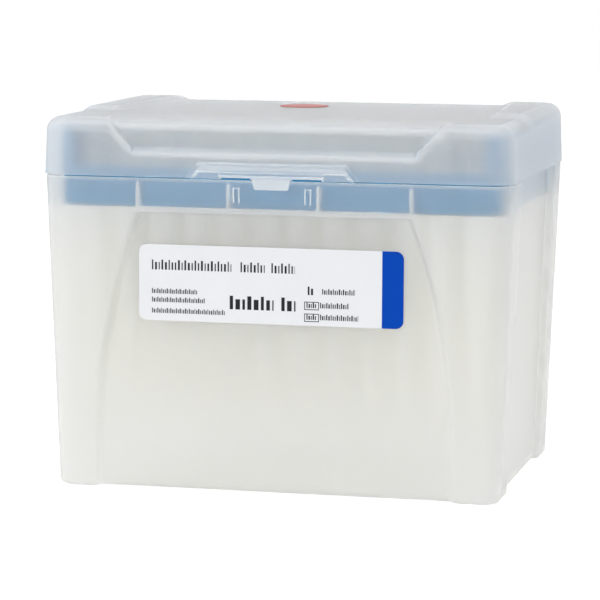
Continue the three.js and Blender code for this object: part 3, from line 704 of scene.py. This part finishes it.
def lidSkin(inward, rows):
    # Rows from the lower edge to the end of the round shoulder. Each row is (height, further inset, inset
    # and height of the window's skin there), and its outline runs from the middle of the front round to the
    # middle of the back; the columns of the front follow the latch's ends and the window's sides.
    height, inset, windowInset, windowHeight = [np.asarray(a, float)[:, None] for a in zip(*rows)]
    slope = lid["lean"] * np.clip(height / (lid["height"] - lid["round"]), 0, 1)
    halfX = lidHalf[0] - inward - slope - inset
    halfY = lidHalf[1] - inward - slope - inset
    radius = np.maximum(lid["radius"] - inward - slope - inset, 0.3)
    straightX, straightY = halfX - radius, halfY - radius
    rise = np.clip(windowHeight - lid["sill"] + inward, 0, None)
    sides = lid["windowFoot"] + lid["windowInside"] * inward + rise * lid["windowSpread"]
    spread = np.clip(rise / (lid["brow"] - lid["sill"]), 0, 1)
    jamb = lid["jambFoot"] + (lid["jambHead"] - lid["jambFoot"]) * spread
    slant = lid["taper"] * np.clip(height, 0, 5)
    ones = np.ones_like(height)
    gripIn, gripOut = lid["grip"][:2]
    pocketIn, pocketOut = lid["pocket"][:2]
    ridgeEnd, plateEnd = lid["ridgeHalf"] - slant, lid["plateHalf"] - slant
    stepPlaces = [gripIn, gripOut, pocketIn, pocketOut - slant, ridgeEnd, plateEnd]
    stepSides = [place + d for place in stepPlaces for d in (-lid["stepHalf"], lid["stepHalf"])]
    anchors = [0, *stepSides, sides, sides + jamb, straightX]
    counts = [4, 1, 5, 1, 1, 1, 5, 1, 1, 1, 1, 1, 12, 6, 14]
    window = len(stepSides) + 1  # stretches before the jamb
    x, weight = [], []
    for n, (start, end, count) in enumerate(zip(anchors[:-1], anchors[1:], counts)):
        t = np.linspace(0, 1, count + 1)[None, :-1]
        x.append((start + (end - start) * t) * ones)
        weight.append((1 - smooth(t) if n == window else np.full_like(t, float(n < window))) * ones)
    frontX, weight = np.concatenate(x, 1), np.concatenate(weight, 1)
    frontY = -(halfY - weight * windowInset)
    frontZ = height + weight * (windowHeight - height)
    turn = np.linspace(0, 90, 15)[None, :-1] * np.pi / 180
    cornerX, cornerY = straightX + radius * np.sin(turn), -straightY - radius * np.cos(turn)
    t = np.linspace(0, 1, 41)[None, :-1]
    sideX, sideY = halfX * np.ones_like(t), straightY * (2 * t - 1)
    backCornerX, backCornerY = straightX + radius * np.cos(turn), straightY + radius * np.sin(turn)
    t = np.linspace(0, 1, 31)[None]
    start = lid["padInner"] - 1
    backX = np.concatenate([straightX + (start - straightX) * t[:, :-1], start * (1 - t) * ones], 1)
    backY = halfY * np.ones_like(backX)
    x = np.concatenate([frontX, cornerX, sideX, backCornerX, backX], 1)
    y = np.concatenate([frontY, cornerY, sideY, backCornerY, backY], 1)
    z = np.concatenate([frontZ, np.repeat(height, x.shape[1] - frontZ.shape[1], 1)], 1)
    back = (slice(None), slice(-2, 0, -1))
    return [np.concatenate([a, b[back]], 1) for a, b in ((x, -x), (y, y), (z, z))]


def lidRows(inward):
    # Row heights of the wall, the sill and the shoulder, with the window's own inset and height. The
    # shoulder is a quarter turn, while the window goes on straight up and turns inwards at its brow.
    shoulder = lid["height"] - lid["round"]
    rows = [(h, 0, 0, h) for h in lid["insideRows" if inward else "outsideRows"]]
    foot, sill = lid["sill"] - lid["sillSlope"] - inward, lid["sill"] - inward

    def sunk(h):
        return lidHalf[1] - lid["lean"] * np.clip(h / shoulder, 0, 1) - lid["windowY"]

    for share in (0, 0.04, 0.5, 0.96, 1.0):
        h = foot + (sill - foot) * share
        rows.append((h, 0, sunk(h) * np.clip((share - 0.02) / 0.96, 0, 1), h))
    rows += [(h, 0, sunk(h), h) for h in np.linspace(sill + 0.3, shoulder, 6)]
    radius = lid["round"] - inward
    browTop, browRound = lid["brow"] - inward, lid["browRound"]
    straight = 6  # rows of the shoulder beside the window's straight part, and as many beside its brow
    straightHeights = np.linspace(shoulder, browTop - browRound, straight + 1)[1:]
    for n, a in enumerate(np.radians(np.linspace(0, 90, 2 * straight + 1)[1:])):
        inset = radius * (1 - np.cos(a))
        windowPlace = lid["windowY"] - inward
        if n < straight:
            windowHeight = straightHeights[n]
        else:
            b = np.radians((n - straight + 1) * 90 / straight)
            windowPlace -= browRound * (1 - np.cos(b))
            windowHeight = browTop - browRound + browRound * np.sin(b)
        windowInset = lidHalf[1] - inward - lid["lean"] - inset - windowPlace
        rows.append((shoulder + radius * np.sin(a), inset, windowInset, windowHeight))
    return rows


def lidSurface(inward):
    # Wall, shoulder and top as one sheet. The rings over the top lie closer near its edge, where the scoop
    # and the raised ends are.
    x, y, h = lidSkin(inward, lidRows(inward))
    shoulder = lid["height"] - lid["round"]
    lifting = np.clip((h - lid["sill"]) / (shoulder - lid["sill"]), 0, 1)
    z = h + lid["padRise"] * padMask(x, y) * lifting
    if not inward:
        y = y - np.where(y < 0, latchRelief(x, h), 0)
    gripIn, gripOut, lift = lid["grip"]
    gripped = (np.abs(x) > gripIn) & (np.abs(x) < gripOut) & (y < 0)
    z = np.where(gripped, np.maximum(z, lift), z)
    shares = 1 - np.concatenate([np.linspace(0, 0.4, 26)[1:], np.linspace(0.4, 1, 22)[1:]])
    top = [shrink(x[-1], y[-1], share, lid["keep"]) for share in shares]
    topX, topY = np.array([a[0] for a in top]), np.array([a[1] for a in top])
    topZ = topHeight(topX, topY) - inward
    return np.concatenate([x, topX]), np.concatenate([y, topY]), np.concatenate([z, topZ]) + lidFoot


def makeLidShell():
    # Outer skin from its top middle down, round the lower edge, then the inner skin up again.
    outer, inner = lidSurface(0), lidSurface(wall)
    x, y, z = [np.concatenate([a[::-1], b]) for a, b in zip(outer, inner)]
    return closedPart(np.stack([x, y, z], -1), gridFaces(len(x), x.shape[1]))


# The tab's sizes, and those of the clips round the hinge pins.
tab = {"topHalf": 4.85, "half": 4.35, "corner": 0.3, "rise": 0.2, "drop": 2.5, "proud": 0.95, "gap": 0.02}
clip = {"outer": 2.5, "lip": 3.3, "half": 5, "sunk": 0.6}


def makeLidTrim():
    # The tab that hangs over the rim, and the two clips behind: each is a hook of arcs round its pin.
    face, top, foot = -lidHalf[1], lidFoot + tab["rise"], lidFoot - tab["drop"]
    half, flat, corner = tab["half"], tab["half"] - tab["corner"], foot + tab["corner"]
    outline = [(-half, corner), (-flat, foot), (flat, foot), (half, corner), (tab["topHalf"], top),
               (-tab["topHalf"], top)]
    parts = [plate(outline, face - tab["proud"], face - tab["gap"])]
    outer, inner, root = clip["outer"], trim["pin"] + fitGap, lidHalf[1] - clip["sunk"]
    hook = np.concatenate([
        arc(hingeY, hingeZ, outer, 22.3, 90, 8), [(root, hingeZ + outer), (root, lidFoot)],
        arc(hingeY, hingeZ, outer, 177, 313, 16), arc(hingeY, hingeZ, clip["lip"], 313, 328, 3),
        arc(hingeY, hingeZ, outer, 328, 337.7, 2), arc(hingeY, hingeZ, inner, 320.7, 39.3, 28)])
    return parts + [prism(hook, x - clip["half"], x + clip["half"]) for x in (-trim["hinge"], trim["hinge"])]


lidShell = makePiece("lid_shell", "box_lid", [makeLidShell(), *makeLidTrim()], lidPlastic,
                     ["lid"], solid=[1])
whitenEdgesAsHighlight(lidShell.data, lid["middle"], lid["bulge"], lid["whiter"])

# Rack: one moulding with skirt, deck and two end walls.
rack = {
    "half": rackHigh[:2], "radius": 6.0, "foot": rackLow[2], "skirtRows": (79.5, 76), "edge": 0.5,
    "chamfer": 0.2, "hole": 3.8, "side": 12, "earTop": rackHigh[2], "earReturn": 3.4, "earSunk": 0.6}


def rackOutline(inset, count):
    # The rack's rounded outline, from the middle of the front round to itself, with its points set so that
    # the middle of each corner meets the corner of the grid of holes.
    halfX, halfY = rack["half"] - inset
    radius = max(rack["radius"] - inset, 0.4)
    straightX, straightY = halfX - radius, halfY - radius
    arcHalf = radius * np.pi / 4
    stepX, stepY = 6 * count, 4 * count
    alongX = np.linspace(0, straightX + arcHalf, stepX + 1)
    alongY = np.linspace(straightY + arcHalf, 0, stepY + 1)[1:]
    turn = np.concatenate([(alongX - straightX) / radius, np.pi / 2 - (alongY - straightY) / radius])
    bend = np.clip(turn, 0, np.pi / 2)
    middleX = np.concatenate([np.minimum(alongX, straightX), np.full(stepY, straightX)])
    middleLine = np.concatenate([np.full(stepX + 1, straightY), np.minimum(alongY, straightY)])
    x, y = middleX + radius * np.sin(bend), -middleLine - radius * np.cos(bend)
    x, y = mirrorQuarter(x[None], y[None])
    return np.column_stack([x[0], y[0]])


def gridEdge(count):
    # The outer edge of the grid of cells, with as many points as the rack's outline.
    halfX, halfY = gridHalf
    x = np.concatenate([np.linspace(0, halfX, 6 * count + 1), np.full(4 * count, halfX)])
    y = np.concatenate([np.full(6 * count + 1, -halfY), -np.linspace(halfY, 0, 4 * count + 1)[1:]])
    x, y = mirrorQuarter(x[None], y[None])
    return np.column_stack([x[0], y[0]])


def stackLoops(loops):
    # Loops of (x, y) points, each at its own height, as one list of points.
    return np.concatenate([np.column_stack([xy, np.full(len(xy), z)]) for xy, z in loops])


def makeDeck():
    # Skirt and deck as one closed skin: cells with a round hole each, a border, and the hanging skirt.
    count, half, chamfer, hole, foot = rack["side"], pitch / 2, rack["chamfer"], rack["hole"], rack["foot"]
    side = np.linspace(-half, half, count + 1)[:-1]
    low, high = np.full(count, -half), np.full(count, half)
    sides = ((side, low), (high, side), (-side, high), (low, -side))
    square = np.concatenate([np.column_stack(pair) for pair in sides])
    around = square / np.linalg.norm(square, axis=1, keepdims=True)
    top, under = deckZ, deckZ - wall
    loops = [(square, top), (around * (hole + chamfer), top), (around * hole, top - chamfer),
             (around * hole, under), (square, under)]
    cells = repeat((stackLoops(loops), [gridFaces(len(loops), len(square))]), tipPlaces)
    edge, round_ = gridEdge(count), rack["edge"]
    rings = [(edge, top), (rackOutline(round_, count), top)]
    for a in np.radians([30, 60, 90]):
        rings.append((rackOutline(round_ - round_ * np.sin(a), count), top - round_ + round_ * np.cos(a)))
    rings += [(rackOutline(0, count), z) for z in (*rack["skirtRows"], foot + chamfer)]
    rings += [(rackOutline(chamfer, count), foot), (rackOutline(wall - chamfer, count), foot)]
    rings += [(rackOutline(wall, count), z) for z in (foot + chamfer, *rack["skirtRows"][::-1], under)]
    rings += [(edge, under)]
    faces = gridFaces(len(rings), len(edge))
    points = np.concatenate([cells[0], stackLoops(rings)])
    return [(points, [cells[1][0], faces[:, ::-1] + len(cells[0])])]


def makeEars():
    # The two end walls that the rack is lifted by: a section carried round each end, with closed ends.
    outer, inner = rackOutline(0, rack["side"]), rackOutline(wall, rack["side"])
    top, foot = rack["earTop"], deckZ - rack["earSunk"]
    section = [(0, foot), (0, top - 0.3), (0.1, top - 0.08), (0.3, top), (wall - 0.3, top),
               (wall - 0.1, top - 0.08), (wall, top - 0.3), (wall, foot)]
    keep = outer[:, 0] > rack["half"][0] - rack["earReturn"]
    shares = [(inset / wall, z) for inset, z in section]
    rings = [(outer[keep] * (1 - share) + inner[keep] * share, z) for share, z in shares]
    rows, corners = int(keep.sum()), len(section)
    points = stackLoops(rings).reshape(corners, rows, 3).transpose(1, 0, 2)
    caps = np.array([np.arange(corners)[::-1], np.arange(corners) + (rows - 1) * corners])
    ear = closedPart(points, gridFaces(rows, corners), caps)
    return [ear, mirrorX(ear)]


# Tips: rows of radius and height, and a 1 where ribs stand. Filters: the same, without ribs.
tipFoot, tipTop, plugTop = tipLow[2], tipHigh[2], solidBox("filter_front_01")[1][2] - 0.05
tip = {
    "sides": 24, "ribs": 12, "ribDepth": 0.035,
    "outside": [(0.5, tipFoot), (0.9, tipFoot + 5), (2.5, 46.5), (2.62, 48.5), (3.1, 68), (3.5, deckZ - 0.2)],
    "collar": [(4.05, deckZ + 0.05), (4.15, deckZ + 0.3, 1), (4.15, tipTop - 2, 1), (4.0, tipTop - 1.7),
               (4.0, tipTop - 1.4), (4.15, tipTop - 1.2), (4.15, tipTop - 0.25), (4.0, tipTop)],
    "inside": [(3.6, tipTop), (3.48, tipTop - 0.3), (3.2, tipTop - 5.6), (3.05, deckZ - 0.7), (2.75, 70),
               (2.1, 48.5), (2.0, 46.5), (0.55, tipFoot + 5), (0.25, tipFoot)],
}
plug = {
    "sides": 16,
    "profile": [(0.001, plugTop - 6), (2.55, plugTop - 6), (2.85, plugTop - 0.25), (2.7, plugTop - 0.05),
                (1.6, plugTop), (0.001, plugTop)],
}


def makeTips():
    # A tip is a closed loop of radius and height turned about its axis. Where ribs stand, every other
    # stretch of the angle is a little closer to the axis.
    profile = [(*row, 0)[:3] for row in tip["outside"] + tip["collar"] + tip["inside"]]
    one = lathe(profile, tip["sides"], lambda a: 1 - tip["ribDepth"] * (np.cos(a * tip["ribs"]) < 0))
    return [repeat(one, tipPlaces)]


def makeFilters():
    # A plug is a solid cone, a little wider towards its top, turned about the tip's axis.
    return [repeat(lathe(plug["profile"], plug["sides"]), tipPlaces)]


rowNodes = sorted(name for name in frame["nodes"] if name.startswith("tips_row"))
makePiece("rack_deck", "box_base", makeDeck() + makeEars(), rackPlastic, ["tip_rack", *rowNodes])
outerTips = [f"tip_{row}_{n:02d}" for row in ("front", "back") for n in range(1, 13)]
makePiece("tips", "box_base", makeTips(), tipPlastic, outerTips)
outerFilters = [name.replace("tip", "filter") for name in outerTips]
makePiece("filters", "box_base", makeFilters(), filterPlastic, outerFilters)

# Print on the label: plain marks in place of words, and a blue end field. Places are counted from the
# label's left and upper edges. Each kind of row has its marks' height and weight, then start, end and top of
# the rows; a frame has its start, end, height and top.
labelPrint = {
    "ink": 0.03, "sunk": 0.01, "field": 5.5, "radius": 2.0, "line": 0.18, "gap": 0.24, "stroke": 0.62,
    "tall": 1.32, "letters": (0.9, 1.25, 0.7, 1.1, 1.3, 0.8, 1.0),
    "rows": (
        (1.9, 0.55, ((3.4, 24.6, 4.5), (26.6, 33.3, 4.5), (34.6, 40.8, 4.5))),
        (0.95, 0.7, ((3.4, 15.5, 11.5), (3.4, 17.6, 13.7), (3.4, 22.7, 16.5))),
        (2.6, 0.95, ((23.8, 35.4, 13.3), (37.2, 41.1, 13.3))),
        (1.6, 0.8, ((44.0, 45.9, 10.0),)),
        (1.05, 0.7, ((47.7, 56.3, 10.3), (47.2, 54.8, 13.8), (47.2, 57.1, 16.8))),
        (1.0, 0.8, ((43.7, 46.4, 13.85), (43.7, 46.4, 16.85))),
    ),
    "frames": ((43.2, 46.8, 1.9, 13.4), (43.2, 46.8, 1.9, 16.4)),
}
inkFront, inkBack = labelLow[1] - labelPrint["ink"], labelLow[1] + labelPrint["sunk"]


def printRow(start, end, top, height, weight):
    # A row of upright marks, as wide in turn as the letters of a word and with narrow gaps.
    parts, x, n = [], start, 0
    stroke = labelPrint["stroke"]
    while x < end - 0.2:
        letter = labelPrint["letters"][n % len(labelPrint["letters"])]
        wide = min(letter * height * stroke, end - x) * stroke * weight
        tall = height * (labelPrint["tall"] if n % 5 in (0, 3) else 1.0)
        z1 = labelHigh[2] - top + (tall - height)
        x0, x1 = labelLow[0] + x, labelLow[0] + x + wide
        parts.append(plate([(x0, z1 - tall), (x1, z1 - tall), (x1, z1), (x0, z1)], inkFront, inkBack))
        x += wide + height * labelPrint["gap"]
        n += 1
    return parts


def printFrame(start, end, height, top):
    # A thin frame: a band round four corners, which ends where it began.
    line = labelPrint["line"]
    x0, x1, z1 = labelLow[0] + start, labelLow[0] + end, labelHigh[2] - top
    path = [(x0, z1 - height), (x0, z1), (x1, z1), (x1, z1 - height), (x0 - line / 2, z1 - height)]
    return [band(path, line, inkFront, inkBack)]


def makeLabelPrint():
    parts = []
    for height, weight, rows in labelPrint["rows"]:
        for start, end, top in rows:
            parts += printRow(start, end, top, height, weight)
    for frameSize in labelPrint["frames"]:
        parts += printFrame(*frameSize)
    return parts


def makeBlueField():
    # The end of the label from the field's straight side to the round corners on the right.
    x1, z0, z1, radius = labelHigh[0], labelLow[2], labelHigh[2], labelPrint["radius"]
    x0 = x1 - labelPrint["field"]
    turn = np.radians(np.linspace(0, 90, 9))
    low = np.column_stack([x1 - radius + radius * np.sin(turn), z0 + radius - radius * np.cos(turn)])
    high = np.column_stack([x1 - radius + radius * np.cos(turn), z1 - radius + radius * np.sin(turn)])
    return [plate(np.concatenate([[(x0, z1), (x0, z0)], low, high]), inkFront, inkBack)]


makePiece("label_print", "box_base", makeLabelPrint(), greyInk)
makePiece("label_field", "box_base", makeBlueField(), blueInk)

# Label and dot keep their solids.
for node, material in (("label", labelFilm), ("indicator_dot", dotFilm)):
    frame["nodes"][node].data.materials.clear()
    frame["nodes"][node].data.materials.append(material)
print("label and dot dressed")

# Floor, room and lamps, in metres and watts.
studio = {"size": 6.0, "paper": "#f3f3f3", "own": 0.24, "shown": 0.8, "glow": 1.12, "room": 0.64}
lamps = {
    "key": {"place": (-1.2, -1.5, 0.65), "target": (0, 0, 0.05), "size": (1.1, 1.0), "power": 7},
    "side": {"place": (-1.7, 0.15, 0.45), "target": (0, 0, 0.05), "size": (0.35, 0.8), "power": 1.6},
    "above": {"place": (0, -0.35, 1.5), "target": (0, 0, 0.1), "size": (1.6, 0.9), "power": 7.5},
    "back": {"place": (0, 1.6, 1.05), "target": (0, 0, 0.1), "size": (2.4, 0.7), "power": 3},
}
view = {"place": (177.65, -757.45, 145.09), "target": (-2.86, 0, 44.74), "lens": 177.9, "roll": 0.278}


def makeFloor():
    # A sheet of white paper: it shows white to the camera, and keeps the box's soft shadow.
    half = studio["size"] / 2
    corners = [(-half, -half, 0), (half, -half, 0), (half, half, 0), (-half, half, 0)]
    mesh = bpy.data.meshes.new("floor")
    mesh.from_pydata(corners, [], [(0, 1, 2, 3)])
    floor = bpy.data.objects.new("floor", mesh)
    bpy.context.scene.collection.objects.link(floor)
    material, tree = newMaterial("white paper")[:2]
    paper = addNode(tree, "ShaderNodeBsdfDiffuse", {"Color": toLinear(studio["paper"])})
    glow = addNode(tree, "ShaderNodeEmission", {"Strength": studio["glow"]})
    seen = addNode(tree, "ShaderNodeLightPath").outputs["Is Camera Ray"]
    share = addRange(tree, seen, studio["own"], studio["shown"])
    finishMaterial(tree, addMix(tree, share, paper.outputs[0], glow.outputs[0]))
    mesh.materials.append(material)


def makeRoom():
    # White to the camera, and a dimmer even light for all else.
    world = bpy.data.worlds.new("studio")
    world.use_nodes = True
    bpy.context.scene.world = world
    tree = world.node_tree
    tree.nodes.clear()
    room = addNode(tree, "ShaderNodeBackground", {"Color": (1, 1, 1, 1), "Strength": studio["room"]})
    white = addNode(tree, "ShaderNodeBackground", {"Color": (1, 1, 1, 1), "Strength": 1.0})
    seen = addNode(tree, "ShaderNodeLightPath").outputs["Is Camera Ray"]
    mixed = addMix(tree, seen, room.outputs[0], white.outputs[0])
    addNode(tree, "ShaderNodeOutputWorld", {"Surface": mixed})


def makeLamp(name, look):
    data = bpy.data.lights.new(name, "AREA")
    data.shape = "RECTANGLE"
    data.size, data.size_y = look["size"]
    data.energy = look["power"]
    lamp = bpy.data.objects.new(name, data)
    lamp.location = look["place"]
    aim = Vector(look["target"]) - Vector(look["place"])
    lamp.rotation_euler = aim.to_track_quat("-Z", "Y").to_euler()
    bpy.context.scene.collection.objects.link(lamp)


def makeCamera():
    # A long lens, a little to the right of the box's front and above it.
    data = bpy.data.cameras.new("camera")
    data.lens, data.sensor_width = view["lens"], 36
    data.clip_start, data.clip_end = 0.05, 20
    camera = bpy.data.objects.new("camera", data)
    place, target = [Vector((x, y + middleY, z)) / 1000 for x, y, z in (view["place"], view["target"])]
    turn = (target - place).to_track_quat("-Z", "Y").to_matrix().to_4x4()
    roll = Matrix.Rotation(np.radians(view["roll"]), 4, "Z")
    camera.matrix_world = Matrix.Translation(place) @ turn @ roll
    bpy.context.scene.collection.objects.link(camera)
    bpy.context.scene.camera = camera


makeFloor()
makeRoom()
for name, look in lamps.items():
    makeLamp(name, look)
makeCamera()
bpy.context.scene.view_settings.view_transform = "Standard"
cycles = bpy.context.scene.cycles
cycles.max_bounces = 32
cycles.diffuse_bounces = 24
cycles.glossy_bounces = 12
cycles.transmission_bounces = 24
cycles.transparent_max_bounces = 16
cycles.blur_glossy = 0
print("stage, light and camera made")
